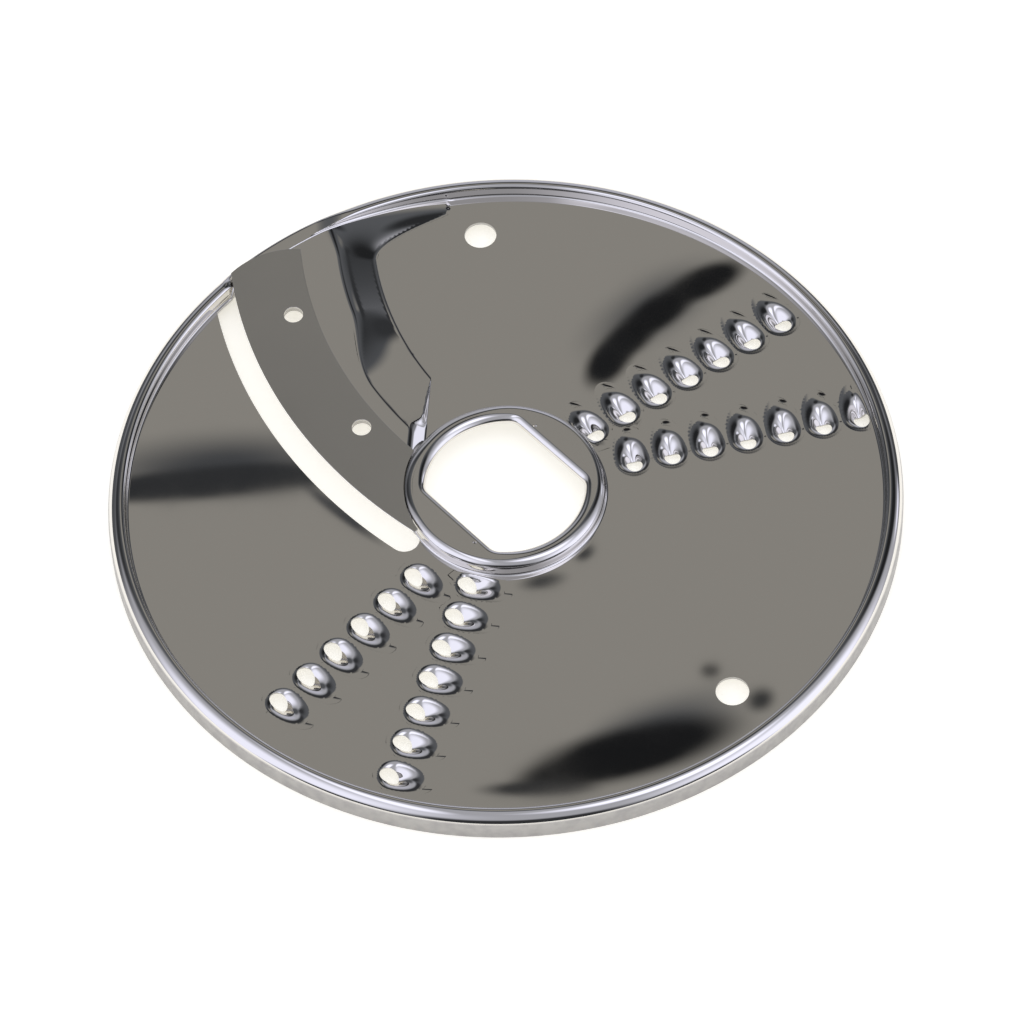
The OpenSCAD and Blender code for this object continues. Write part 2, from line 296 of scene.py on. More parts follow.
def slot_outline():
    back_turns = np.linspace(turn_at(land_front_r, slot_rim_r), slot_end_turn, slot_steps)
    front_turns = np.linspace(slot_end_turn, turn_at(slot_front_r, slot_rim_r), slot_steps)
    end_r = (slot_front_r - land_front_r) / 2
    end = arc_point(land_front_r + end_r, slot_end_turn)
    end_turns = arc_turn + slot_end_turn - np.linspace(0, 180, 25)[1:-1]
    rim_end = arc_point(slot_front_r, front_turns[-1])
    land_end = arc_point(land_front_r, back_turns[0])
    angles = [math.degrees(math.atan2(end_y, end_x)) for end_x, end_y in (rim_end, land_end)]
    closing = polar(slot_rim_r, np.linspace(*angles, 9)[1:-1])
    loop = np.concatenate([arc_point(land_front_r, back_turns), end + polar(end_r, end_turns),
                           arc_point(slot_front_r, front_turns), closing])
    reach = np.linalg.norm(loop, axis=-1)
    return loop * (np.maximum(reach, slot_hub_r) / reach)[:, None]


holes = [slot_outline()]
holes += [tooth_hole(tooth, 0) for tooth in teeth]
holes += [circle(centre, finger_hole_r, 64) for centre in finger_holes]
holes += [circle(centre, weld_hole_r, 40) for centre in weld_holes]
holes += [circle(np.zeros(2), collar_join_r, hub_steps)]
outer = circle(np.zeros(2), rim_foot_x, rim_steps)


def inside(loop, points):
    x, y = points[:, 0], points[:, 1]
    found = np.zeros(len(points), bool)
    for (x0, y0), (x1, y1) in zip(loop, np.roll(loop, -1, 0)):
        crossing = (y0 > y) != (y1 > y)
        where = x0 + (y - y0) * (x1 - x0) / (y1 - y0 if y1 != y0 else 1)
        found ^= crossing & (x < where)
    return found


def tooth_rings():
    rings = []
    for hole, pocket, across, back in teeth:
        own_rings = [tooth_hole((hole, pocket, across, back), wider) for wider in mouth_rings]
        deepest = pocket + pocket_deepest * back
        for k in pocket_rings:
            own_rings.append(oval(deepest, across, back, k * scoop_w, k * scoop_back,
                                  k * scoop_front, 0.3 + 0.14 * k))
        for k in dent_rings:
            own_rings.append(oval(deepest, across, back, k * dent_w, k * dent_back,
                                  k * dent_front, dent_ring_gap))
        ring = np.concatenate(own_rings)
        own = np.linalg.norm(ring - pocket, axis=-1)
        other = [np.linalg.norm(ring - t[1], axis=-1) for t in teeth if t[1] is not pocket]
        rings.append(ring[own <= np.min(other, axis=0)])
    return np.concatenate(rings)


def wall_rows():
    along = polar(1.0, wall_turn)
    steps = np.arange(*wall_row_ends, wall_row_gap)[:, None] * along
    return np.concatenate([wall_corner + d * wall_normal + steps for d in wall_row_places])


def ring_rows():
    turns = np.arange(hub_steps) * 360 / hub_steps + collar_ring_turn
    return np.concatenate([polar(radius, turns) for radius in collar_rings])


def net(spacing, keep):
    rows = np.arange(-disc_r, disc_r, spacing * math.sqrt(0.75))
    points = []
    for i, y in enumerate(rows):
        x = np.arange(-disc_r + (i % 2) * spacing / 2, disc_r, spacing)
        points.append(np.stack([x, np.full_like(x, y)], -1))
    points = np.concatenate(points)
    return points[keep(points)]


def near_ramp(p):
    arc_r, turn = arc_place(p)
    fan = fan_share(turn)
    s = arc_r - ramp_foot_r + fan_reach * fan
    wall = (p - wall_corner) @ wall_normal
    past_foot = s > -ramp_margin - fan_margin * fan
    short_of_crest = s < ramp_w + ramp_margin + (fan_reach + fan_draw) * fan
    on_ramp = past_foot & short_of_crest & (wall > ramp_net_end)
    on_wall = (wall > wall_net_ends[0]) & (wall < wall_net_ends[1]) & (s > -ramp_margin)
    return (on_ramp | on_wall) & (turn < 0)


def everywhere(p):
    return np.ones(len(p), bool)


# Each layer of points, and the least distance that it keeps from the layers before it.
layers = [
    (tooth_rings(), 0.16),
    (ring_rows(), 0.08),
    (wall_rows(), 0.1),
    (net(ramp_spacing, near_ramp), 0.35),
    (net(plate_spacing, everywhere), 1.3),
]
laid = np.concatenate([outer] + holes)
for points, gap in layers:
    tree = KDTree(len(laid))
    for i, (x, y) in enumerate(laid):
        tree.insert((x, y, 0), i)
    tree.balance()
    reach = np.linalg.norm(points, axis=-1)
    points = points[(reach < rim_foot_x) & (reach > collar_join_r)]
    far_enough = np.array([tree.find((x, y, 0))[2] > gap for x, y in points])
    laid = np.concatenate([laid, points[far_enough]])

loop_edges = []
first = 0
for loop in [outer] + holes:
    n = len(loop)
    loop_edges += [(first + i, first + (i + 1) % n) for i in range(n)]
    first += n
flat_points, _, flat_faces, _, _, _ = delaunay_2d_cdt(
    [Vector(p) for p in laid], loop_edges, [], 0, 1e-5)
flat = np.array([tuple(p) for p in flat_points])
corners = np.array([list(f) for f in flat_faces])
centres = flat[corners].mean(1)
cut_out = np.zeros(len(corners), bool)
for loop in holes:
    cut_out |= inside(loop, centres)
corners = corners[~cut_out]

sheet = bmesh.new()
heights = sheet_height(flat)
plate_verts = [sheet.verts.new((x, y, z)) for (x, y), z in zip(flat, heights)]
for a, b, c in corners:
    sheet.faces.new((plate_verts[a], plate_verts[b], plate_verts[c]))
bmesh.ops.delete(sheet, geom=[v for v in sheet.verts if not v.link_faces], context="VERTS")
bmesh.ops.recalc_face_normals(sheet, faces=sheet.faces)
if sum(f.normal.z for f in sheet.faces) < 0:
    bmesh.ops.reverse_faces(sheet, faces=sheet.faces)

# Rim. The sheet's edge is rolled: it turns up from the plate, over a tight shoulder and a large
# round crest, and hangs down outside as a plain skirt. The crest is flattened where the blade's
# end lies on it, and the land runs up to its inner wall.
crest_guard = 0.05
rim_rise = blade_high.z / mm + crest_guard - plate_z
roll_r = 2.45
shoulder_r = 0.8
rim_foot_r = 0.5
roll_x = disc_r - roll_r
blade_back_r = cut_r - 13.5
rim_fall_l = 11.0
notch_gap = 0.2
notch_front = 0.8
notch_turn = -45
notch_half_turn = 30
notch_reach = 2.0
skirt_ring_z = -1.3


def bend(centre_x, centre_z, radius, start, end, count):
    turns = np.radians(np.linspace(start, end, count))
    return [(centre_x + radius * math.cos(t), centre_z + radius * math.sin(t)) for t in turns]


profile = bend(rim_foot_x, rim_foot_r, rim_foot_r, 270, 360, 6)
profile += bend(roll_x, rim_rise - shoulder_r, shoulder_r, 180, 90, 8)
profile += bend(roll_x, rim_rise - roll_r, roll_r, 90, 0, 13)[1:]
profile += [(disc_r, skirt_ring_z), (disc_r, -plate_z)]
rim_line = [sheet.verts.new((x, 0, z)) for x, z in profile]
rim_edges = [sheet.edges.new(pair) for pair in zip(rim_line, rim_line[1:])]
plate_set = set(plate_verts)
bmesh.ops.spin(sheet, geom=rim_line + rim_edges, cent=(0, 0, 0), axis=(0, 0, 1),
               angle=2 * math.pi, steps=rim_steps, use_merge=True)


def rim_height(p, z, radius):
    at_foot = p / radius[:, None] * rim_foot_x
    land = land_height(at_foot)
    lifted = land + z * (rim_rise - land) / rim_rise
    inner = np.where(radius < disc_r - 0.01, lifted, z)
    z = np.where((radius <= roll_x) & (z >= 0), inner, z)
    arc_r, turn = arc_place(p)
    behind = (blade_back_r - notch_gap - arc_r) / rim_fall_l
    cap = land_h + (rim_rise - land_h) * smooth_step(0, 1, behind)
    front = smooth_step(0, notch_front, arc_r - cut_r - notch_gap)
    cap = cap + (rim_rise - land_h) * front
    in_notch = (np.abs(turn - notch_turn) < notch_half_turn) & (arc_r < cut_r + notch_reach)
    return np.where(in_notch, np.minimum(z, cap), z)


rim_verts = [v for v in sheet.verts if math.hypot(v.co.x, v.co.y) > rim_foot_x + 0.01]
rim_points = np.array([v.co for v in rim_verts])
rim_radius = np.linalg.norm(rim_points[:, :2], axis=-1)
for v, z in zip(rim_verts, rim_height(rim_points[:, :2], rim_points[:, 2], rim_radius)):
    v.co.z = z

# Collar. A low round wall rises from the plate and turns in to a narrow flat top, where the
# spindle hole has two round and two flat sides. The hole's edge is curled down, and two small
# nibs are coined on the flat beside it.
collar_crown_r = 1.5
hole_r = 14.5
hole_flat = 11.1
hole_corner_r = 2.5
hole_lip_r = 1.4
hole_turn = 40
roll_draw = 0.42
roll_draw_turns = (math.radians(42), math.radians(68))
lip_steps = 10
nib_n = 12.75
nib_t = 5.87
nib_r = 0.5
nib_h = 0.25
corner_n = hole_flat - hole_corner_r
corner_t = math.sqrt((hole_r - hole_corner_r) ** 2 - corner_n**2)
crown_x = collar_r - collar_crown_r

foot_turn = math.degrees(math.acos((collar_r + collar_foot_r - collar_join_r) / collar_foot_r))
wall_line = bend(collar_r + collar_foot_r, collar_foot_r, collar_foot_r, 180 + foot_turn, 180, 4)
wall_line += bend(crown_x, collar_rise - collar_crown_r, collar_crown_r, 0, 90, 9)
collar_line = [sheet.verts.new((x, 0, z)) for x, z in wall_line]
collar_edges = [sheet.edges.new(pair) for pair in zip(collar_line, collar_line[1:])]
bmesh.ops.spin(sheet, geom=collar_line + collar_edges, cent=(0, 0, 0), axis=(0, 0, 1),
               angle=2 * math.pi, steps=hub_steps, use_merge=True)
for v in sheet.verts:
    radius = math.hypot(v.co.x, v.co.y)
    if v.co.z >= 0 and radius < collar_join_r + 0.01 and v not in plate_set:
        p = np.array([[v.co.x, v.co.y]]) / radius * collar_join_r
        land = float(land_height(p)[0])
        v.co.z = land + v.co.z * (collar_rise - land) / collar_rise


def from_flat(angle):
    return abs((angle - math.radians(hole_turn) + math.pi / 2) % math.pi - math.pi / 2)


def round_share(angle):
    return float(smooth_step(*roll_draw_turns, from_flat(angle)))


def hole_point(angle, offset):
    fold = from_flat(angle)
    flat_end = math.atan2(corner_t, hole_flat + offset)
    corner_end = math.atan2(corner_t, corner_n)
    if fold < flat_end:
        reach = (hole_flat + offset) / math.cos(fold)
    elif fold < corner_end:
        along = corner_n * math.cos(fold) + corner_t * math.sin(fold)
        square = corner_n**2 + corner_t**2 - (hole_corner_r + offset) ** 2
        reach = along + math.sqrt(along**2 - square)
    else:
        reach = hole_r + offset
    return reach * math.cos(angle), reach * math.sin(angle)


ring = [e for e in sheet.edges if e.is_boundary and
        all(abs(math.hypot(v.co.x, v.co.y) - crown_x) < 0.01 and v.co.z > 1 for v in e.verts)]
for v in {v for f in sheet.faces for v in f.verts}:
    radius = math.hypot(*v.co.xy)
    if crown_x - 0.01 < radius < collar_r and v.co.z > collar_rise - collar_crown_r + 0.01:
        draw = roll_draw * round_share(math.atan2(v.co.y, v.co.x)) / collar_crown_r
        v.co.xy *= (radius - draw * (collar_r - radius)) / radius
for step in range(lip_steps + 1):
    turn = math.radians(90 * step / lip_steps)
    made = bmesh.ops.extrude_edge_only(sheet, edges=ring)["geom"]
    ring = [e for e in made if isinstance(e, bmesh.types.BMEdge) and e.is_boundary]
    for v in {v for e in ring for v in e.verts}:
        angle = math.atan2(v.co.y, v.co.x)
        lip_w = hole_lip_r + roll_draw * round_share(angle)
        x, y = hole_point(angle, lip_w * (1 - math.sin(turn)))
        v.co = (x, y, collar_rise - hole_lip_r * (1 - math.cos(turn)))

bmesh.ops.remove_doubles(sheet, verts=sheet.verts, dist=0.01)
bmesh.ops.recalc_face_normals(sheet, faces=sheet.faces)
if sum(f.normal.z * f.calc_area() for f in sheet.faces) < 0:
    bmesh.ops.reverse_faces(sheet, faces=sheet.faces)

# Thickness of the sheet. The underside follows the top at the sheet's thickness, and a plain cut
# edge joins them round every opening and along the skirt. The pressed surfaces reflect like a
# mirror, so their shading follows the sheet's true form, and the collar's top is shaded level.
sheet.verts.index_update()
sheet.normal_update()
points = np.array([v.co for v in sheet.verts])
normals = np.array([v.normal for v in sheet.verts])
reach = np.linalg.norm(points[:, :2], axis=-1)
on_plate = (reach < rim_foot_x + 0.01) & (reach > collar_join_r - 0.01)
normals[on_plate] = sheet_normal(points[on_plate, :2])
level_slack = 0.005
on_collar = (reach < collar_r) & (points[:, 2] > collar_rise - level_slack)
normals[on_collar] = (0, 0, 1)
top_faces = sheet.faces[:]
top_walls = [(loop.link_loop_next.vert.index, loop.vert.index)
             for f in sheet.faces for loop in f.loops if loop.edge.is_boundary]
top_verts = sheet.verts[:]
copy = bmesh.ops.duplicate(sheet, geom=sheet.verts[:] + sheet.edges[:] + sheet.faces[:])
under_faces = [g for g in copy["geom"] if isinstance(g, bmesh.types.BMFace)]
bmesh.ops.reverse_faces(sheet, faces=under_faces)
under_verts = [copy["vert_map"][v] for v in top_verts]
for v, point, normal in zip(under_verts, points, normals):
    v.co = point - normal * sheet_t
walls = [sheet.faces.new((top_verts[a], top_verts[b], under_verts[b], under_verts[a]))
         for a, b in top_walls]
nib_place = polar(1.0, hole_turn) * nib_n + polar(1.0, hole_turn + 90) * nib_t
nib_faces = []
for x, y in (nib_place, -nib_place):
    nib = bmesh.ops.create_cone(sheet, cap_ends=True, segments=20, radius1=nib_r, radius2=nib_r / 2,
                                depth=2 * nib_h, matrix=Matrix.Translation((x, y, collar_rise)))
    nib_faces += {f for v in nib["verts"] for f in v.link_faces}
bmesh.ops.scale(sheet, vec=(mm, mm, mm), verts=sheet.verts)
bmesh.ops.translate(sheet, vec=(0, 0, plate_z * mm), verts=sheet.verts)
for f in top_faces + under_faces:
    f.smooth = True
for f in walls:
    f.material_index = 1
sheet.verts.index_update()
sheet.faces.index_update()
vertex_normal = np.zeros((len(sheet.verts), 3))
vertex_normal[[v.index for v in top_verts]] = normals
vertex_normal[[v.index for v in under_verts]] = -normals
is_wall = np.zeros(len(sheet.faces), bool)
is_wall[[f.index for f in walls + nib_faces]] = True
disc_mesh = bpy.data.meshes.new("pressed_disc")
sheet.to_mesh(disc_mesh)
sheet.free()
loop_vertex = np.empty(len(disc_mesh.loops), int)
disc_mesh.loops.foreach_get("vertex_index", loop_vertex)
loop_total = np.empty(len(disc_mesh.polygons), int)
disc_mesh.polygons.foreach_get("loop_total", loop_total)
face_of_loop = np.repeat(np.arange(len(loop_total)), loop_total)
face_normal = np.empty((len(loop_total), 3))
disc_mesh.polygons.foreach_get("normal", face_normal.reshape(-1))
loop_normal = np.where(is_wall[face_of_loop][:, None],
                       face_normal[face_of_loop], vertex_normal[loop_vertex])
disc_mesh.normals_split_custom_set(loop_normal.tolist())
disc = bpy.data.objects.new("pressed_disc", disc_mesh)
bpy.context.scene.collection.objects.link(disc)
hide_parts("disc")
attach(disc, "root")


# Stainless finish. The sheet is bright rolled stock with faint rubbing marks and slow waves. Its
# skirt is left satin and a little mottled by the forming roll, and its colour is darkened well
# below the sheet's own colour as painted shade; the collar is less bright than the plate. The cut
# edges are duller still.
sheet_colour = (0.74, 0.72, 0.69)
# The skirt's two tones are painted shade, far darker than the sheet's own colour; they mottle at
# random.
satin_and_painted_shade = (0.44, 0.43, 0.42)
satin_dark_and_painted_shade = (0.37, 0.36, 0.36)
satin_roughness = 0.42
skirt_band = (disc_r - 0.35, disc_r - 0.10)
collar_roughness = 0.06
collar_band = (19.6, 18.9)
smudge_scale = 60
mottle_scale = 450


def new_link(tree, source, target):
    tree.links.new(source, target)


def rubbed_metal_group():
    group = bpy.data.node_groups.new("rubbed_metal", "ShaderNodeTree")
    group.interface.new_socket("Position", in_out="INPUT", socket_type="NodeSocketVector")
    for name in ["Wave Scale", "Smudge Scale", "Gloss Low", "Gloss High"]:
        group.interface.new_socket(name, in_out="INPUT", socket_type="NodeSocketFloat")
    for name in ["Height", "Roughness"]:
        group.interface.new_socket(name, in_out="OUTPUT", socket_type="NodeSocketFloat")
    nodes = group.nodes
    inputs = nodes.new("NodeGroupInput")
    outputs = nodes.new("NodeGroupOutput")
    wave = nodes.new("ShaderNodeTexNoise")
    wave.inputs["Detail"].default_value = 1
    smudge = nodes.new("ShaderNodeTexNoise")
    smudge.inputs["Detail"].default_value = 6
    gloss = nodes.new("ShaderNodeMapRange")
    gloss.inputs["From Min"].default_value = 0.3
    gloss.inputs["From Max"].default_value = 0.7
    new_link(group, inputs.outputs["Position"], wave.inputs["Vector"])
    new_link(group, inputs.outputs["Position"], smudge.inputs["Vector"])
    new_link(group, inputs.outputs["Wave Scale"], wave.inputs["Scale"])
    new_link(group, inputs.outputs["Smudge Scale"], smudge.inputs["Scale"])
    new_link(group, smudge.outputs["Fac"], gloss.inputs["Value"])
    new_link(group, inputs.outputs["Gloss Low"], gloss.inputs["To Min"])
    new_link(group, inputs.outputs["Gloss High"], gloss.inputs["To Max"])
    new_link(group, wave.outputs["Fac"], outputs.inputs["Height"])
    new_link(group, gloss.outputs["Result"], outputs.inputs["Roughness"])
    return group


def steel(name, colour, gloss_low, gloss_high, wave_scale, wave_height):
    material = bpy.data.materials.new(name)
    material.use_nodes = True
    tree = material.node_tree
    shader = tree.nodes["Principled BSDF"]
    shader.inputs["Metallic"].default_value = 1.0
    shader.inputs["Base Color"].default_value = (*colour, 1)
    place = tree.nodes.new("ShaderNodeTexCoord")
    rubbed = tree.nodes.new("ShaderNodeGroup")
    rubbed.node_tree = rubbed_group
    rubbed.inputs["Wave Scale"].default_value = wave_scale
    rubbed.inputs["Smudge Scale"].default_value = smudge_scale
    rubbed.inputs["Gloss Low"].default_value = gloss_low
    rubbed.inputs["Gloss High"].default_value = gloss_high
    bump = tree.nodes.new("ShaderNodeBump")
    bump.inputs["Strength"].default_value = 1.0
    bump.inputs["Distance"].default_value = wave_height
    new_link(tree, place.outputs["Object"], rubbed.inputs["Position"])
    new_link(tree, rubbed.outputs["Height"], bump.inputs["Height"])
    new_link(tree, bump.outputs["Normal"], shader.inputs["Normal"])
    new_link(tree, rubbed.outputs["Roughness"], shader.inputs["Roughness"])
    return material


rubbed_group = rubbed_metal_group()
sheet_steel = steel("polished_sheet", sheet_colour, 0.008, 0.024, 18, 0.00001)
tree = sheet_steel.node_tree
place = next(n for n in tree.nodes if n.bl_idname == "ShaderNodeTexCoord")
rubbed = next(n for n in tree.nodes if n.bl_idname == "ShaderNodeGroup")
across_plate = tree.nodes.new("ShaderNodeVectorMath")
across_plate.operation = "MULTIPLY"
across_plate.inputs[1].default_value = (1, 1, 0)
from_axis = tree.nodes.new("ShaderNodeVectorMath")
from_axis.operation = "LENGTH"
on_skirt = tree.nodes.new("ShaderNodeMapRange")
on_skirt.interpolation_type = "SMOOTHSTEP"
on_skirt.inputs["From Min"].default_value = skirt_band[0] * mm
on_skirt.inputs["From Max"].default_value = skirt_band[1] * mm
near_hub = tree.nodes.new("ShaderNodeMapRange")
near_hub.inputs["From Min"].default_value = collar_band[0] * mm
near_hub.inputs["From Max"].default_value = collar_band[1] * mm
mottle = tree.nodes.new("ShaderNodeTexNoise")
mottle.inputs["Scale"].default_value = mottle_scale
mottle.inputs["Detail"].default_value = 4
patches = tree.nodes.new("ShaderNodeMapRange")
patches.inputs["From Min"].default_value = 0.35
patches.inputs["From Max"].default_value = 0.62
mottled_painted_shade = tree.nodes.new("ShaderNodeMix")
mottled_painted_shade.data_type = "RGBA"
mottled_painted_shade.inputs["A"].default_value = (*satin_dark_and_painted_shade, 1)
mottled_painted_shade.inputs["B"].default_value = (*satin_and_painted_shade, 1)
# The skirt band takes the darker mottled tones: painted shade, with a random mottle.
colour = tree.nodes.new("ShaderNodeMix")
colour.data_type = "RGBA"
colour.inputs["A"].default_value = (*sheet_colour, 1)
hub_gloss = tree.nodes.new("ShaderNodeMix")
hub_gloss.inputs["B"].default_value = collar_roughness
gloss = tree.nodes.new("ShaderNodeMix")
gloss.inputs["B"].default_value = satin_roughness
new_link(tree, place.outputs["Object"], across_plate.inputs[0])
new_link(tree, across_plate.outputs[0], from_axis.inputs[0])
new_link(tree, from_axis.outputs["Value"], on_skirt.inputs["Value"])
new_link(tree, from_axis.outputs["Value"], near_hub.inputs["Value"])
new_link(tree, place.outputs["Object"], mottle.inputs["Vector"])
new_link(tree, mottle.outputs["Fac"], patches.inputs["Value"])
new_link(tree, patches.outputs["Result"], mottled_painted_shade.inputs["Factor"])
new_link(tree, on_skirt.outputs["Result"], colour.inputs["Factor"])
new_link(tree, mottled_painted_shade.outputs["Result"], colour.inputs["B"])
new_link(tree, near_hub.outputs["Result"], hub_gloss.inputs["Factor"])
new_link(tree, rubbed.outputs["Roughness"], hub_gloss.inputs["A"])
new_link(tree, on_skirt.outputs["Result"], gloss.inputs["Factor"])
new_link(tree, hub_gloss.outputs["Result"], gloss.inputs["A"])
new_link(tree, colour.outputs["Result"], tree.nodes["Principled BSDF"].inputs["Base Color"])
new_link(tree, gloss.outputs["Result"], tree.nodes["Principled BSDF"].inputs["Roughness"])
disc_mesh.materials.append(sheet_steel)
disc_mesh.materials.append(steel("cut_edge", (0.5, 0.49, 0.48), 0.3, 0.42, 60, 0.00001))

# Slicing blade. A curved strip of hardened stainless steel with a bevel ground under its front
# edge, spot welded flat on the land. Its corners are broken by a very small round.
blade_edge_round = 0.05
blade_body = bmesh.new()
blade_body.from_mesh(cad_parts["slicing_blade"].data)
bmesh.ops.remove_doubles(blade_body, verts=blade_body.verts, dist=1e-6)
bmesh.ops.dissolve_limit(blade_body, angle_limit=math.radians(0.5), verts=blade_body.verts,
                         edges=blade_body.edges, use_dissolve_boundaries=False)
sharp = [e for e in blade_body.edges if len(e.link_faces) == 2 and
         e.calc_face_angle() > math.radians(30)]
bmesh.ops.bevel(blade_body, geom=sharp, offset=blade_edge_round * mm, offset_type="OFFSET",
                segments=2, profile=0.5, affect="EDGES", material=-1, clamp_overlap=True)
blade_mesh = bpy.data.meshes.new("curved_blade")
blade_body.to_mesh(blade_mesh)
blade_body.free()
blade_mesh.shade_smooth()
blade_mesh.set_sharp_from_angle(angle=math.radians(20))
blade = bpy.data.objects.new("curved_blade", blade_mesh)
bpy.context.scene.collection.objects.link(blade)
blade_mesh.materials.append(steel("blade_steel", (0.57, 0.56, 0.545), 0.08, 0.14, 30, 0.00002))
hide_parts("slicing_blade")
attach(blade, "root")

# Table. A plain white top lies under the disc and takes its shadow. It glows a little towards the
# camera and in the steel's reflections, so that it shows as a white background there.
table_white = (0.74, 0.74, 0.77)
table_glow = (0.53, 0.515, 0.455)
floor_mesh = bpy.data.meshes.new("table")
floor_shape = bmesh.new()
bmesh.ops.create_grid(floor_shape, x_segments=1, y_segments=1, size=4.0)
floor_shape.to_mesh(floor_mesh)
floor_shape.free()
floor = bpy.data.objects.new("table", floor_mesh)
bpy.context.scene.collection.objects.link(floor)

floor_paint = bpy.data.materials.new("table_white")
floor_paint.use_nodes = True
tree = floor_paint.node_tree
tree.nodes.remove(tree.nodes["Principled BSDF"])
diffuse = tree.nodes.new("ShaderNodeBsdfDiffuse")
diffuse.inputs["Color"].default_value = (*table_white, 1)
glow = tree.nodes.new("ShaderNodeEmission")
glow.inputs["Color"].default_value = (*table_glow, 1)
rays = tree.nodes.new("ShaderNodeLightPath")
seen = tree.nodes.new("ShaderNodeMath")
seen.operation = "ADD"
seen_all = tree.nodes.new("ShaderNodeMath")
seen_all.operation = "ADD"
both_shaders = tree.nodes.new("ShaderNodeAddShader")
new_link(tree, rays.outputs["Is Camera Ray"], seen.inputs[0])
new_link(tree, rays.outputs["Is Glossy Ray"], seen.inputs[1])
new_link(tree, seen.outputs[0], seen_all.inputs[0])
new_link(tree, rays.outputs["Is Transmission Ray"], seen_all.inputs[1])
new_link(tree, seen_all.outputs[0], glow.inputs["Strength"])
new_link(tree, glow.outputs[0], both_shaders.inputs[0])
new_link(tree, diffuse.outputs[0], both_shaders.inputs[1])
new_link(tree, both_shaders.outputs[0], tree.nodes["Material Output"].inputs["Surface"])
floor_mesh.materials.append(floor_paint)

# Studio room. A white room lights the disc evenly, and the polished steel mirrors light walls on
# the left and right, a plain warm grey ceiling, and grey and black cards behind and in front.
room_grey = (0.46, 0.47, 0.53)
warm_grey = (1.03, 1.0, 0.94)
cool_light = (0.95, 0.97, 1.16)
cool_dark = (0.94, 1.0, 1.12)
camera_y = -599.9
camera_rise = 838.5
lowest_up = 0.05

world = bpy.data.worlds.new("studio")
bpy.context.scene.world = world
world.use_nodes = True
tree = world.node_tree
room = tree.nodes["Background"]
room.inputs["Color"].default_value = (1, 1, 1, 1)
mirrored = tree.nodes.new("ShaderNodeBackground")
mixed = tree.nodes.new("ShaderNodeMixShader")
rays = tree.nodes.new("ShaderNodeLightPath")
new_link(tree, rays.outputs["Is Glossy Ray"], mixed.inputs[0])
new_link(tree, room.outputs[0], mixed.inputs[1])
new_link(tree, mirrored.outputs[0], mixed.inputs[2])
new_link(tree, mixed.outputs[0], tree.nodes["World Output"].inputs["Surface"])


def room_math(operation, first, second):
    node = tree.nodes.new("ShaderNodeMath")
    node.operation = operation
    for socket, value in zip(node.inputs, (first, second)):
        if isinstance(value, (int, float)):
            socket.default_value = value
        else:
            new_link(tree, value, socket)
    return node.outputs[0]


def flattened(direction, factor, shift):
    scaled = tree.nodes.new("ShaderNodeVectorMath")
    scaled.operation = "SCALE"
    new_link(tree, direction, scaled.inputs[0])
    new_link(tree, factor, scaled.inputs["Scale"])
    moved = tree.nodes.new("ShaderNodeVectorMath")
    moved.operation = "MULTIPLY_ADD"
    moved.inputs[1].default_value = (1, 1, 0)
    moved.inputs[2].default_value = shift
    new_link(tree, scaled.outputs[0], moved.inputs[0])
    return moved.outputs[0]


def studio_card_group():
    group = bpy.data.node_groups.new("studio_card", "ShaderNodeTree")
    for name in ["Point", "Place", "Turn", "Size"]:
        group.interface.new_socket(name, in_out="INPUT", socket_type="NodeSocketVector")
    group.interface.new_socket("Core", in_out="INPUT", socket_type="NodeSocketFloat")
    group.interface.new_socket("Tone", in_out="INPUT", socket_type="NodeSocketColor")
    group.interface.new_socket("Below", in_out="INPUT", socket_type="NodeSocketColor")
    group.interface.new_socket("Color", in_out="OUTPUT", socket_type="NodeSocketColor")
    inputs = group.nodes.new("NodeGroupInput")
    outputs = group.nodes.new("NodeGroupOutput")
    local = group.nodes.new("ShaderNodeMapping")
    local.vector_type = "TEXTURE"
    reach = group.nodes.new("ShaderNodeVectorMath")
    reach.operation = "LENGTH"
    fade = group.nodes.new("ShaderNodeMapRange")
    fade.interpolation_type = "SMOOTHSTEP"
    fade.inputs["From Max"].default_value = 1
    fade.inputs["To Min"].default_value = 1
    fade.inputs["To Max"].default_value = 0
    over = group.nodes.new("ShaderNodeMix")
    over.data_type = "RGBA"
    new_link(group, inputs.outputs["Point"], local.inputs["Vector"])
    new_link(group, inputs.outputs["Place"], local.inputs["Location"])
    new_link(group, inputs.outputs["Turn"], local.inputs["Rotation"])
    new_link(group, inputs.outputs["Size"], local.inputs["Scale"])
    new_link(group, local.outputs[0], reach.inputs[0])
    new_link(group, reach.outputs["Value"], fade.inputs["Value"])
    new_link(group, inputs.outputs["Core"], fade.inputs["From Min"])
    new_link(group, fade.outputs["Result"], over.inputs["Factor"])
    new_link(group, inputs.outputs["Below"], over.inputs["A"])
    new_link(group, inputs.outputs["Tone"], over.inputs["B"])
    new_link(group, over.outputs["Result"], outputs.inputs["Color"])
    return group


card_group = studio_card_group()


def studio_card(below, point, place, size, turn, level, core):
    card = tree.nodes.new("ShaderNodeGroup")
    card.node_tree = card_group
    tint = cool_dark
    if level > 0.2:
        tint = warm_grey
    if level > 0.5:
        tint = cool_light
    new_link(tree, point, card.inputs["Point"])
    card.inputs["Place"].default_value = (*place, 0)
    card.inputs["Size"].default_value = (*size, 1)
    card.inputs["Turn"].default_value = (0, 0, math.radians(turn))
    card.inputs["Core"].default_value = core
    card.inputs["Tone"].default_value = (*(level * part for part in tint), 1)
    if isinstance(below, tuple):
        card.inputs["Below"].default_value = below
    else:
        new_link(tree, below, card.inputs["Below"])
    return card.outputs["Color"]


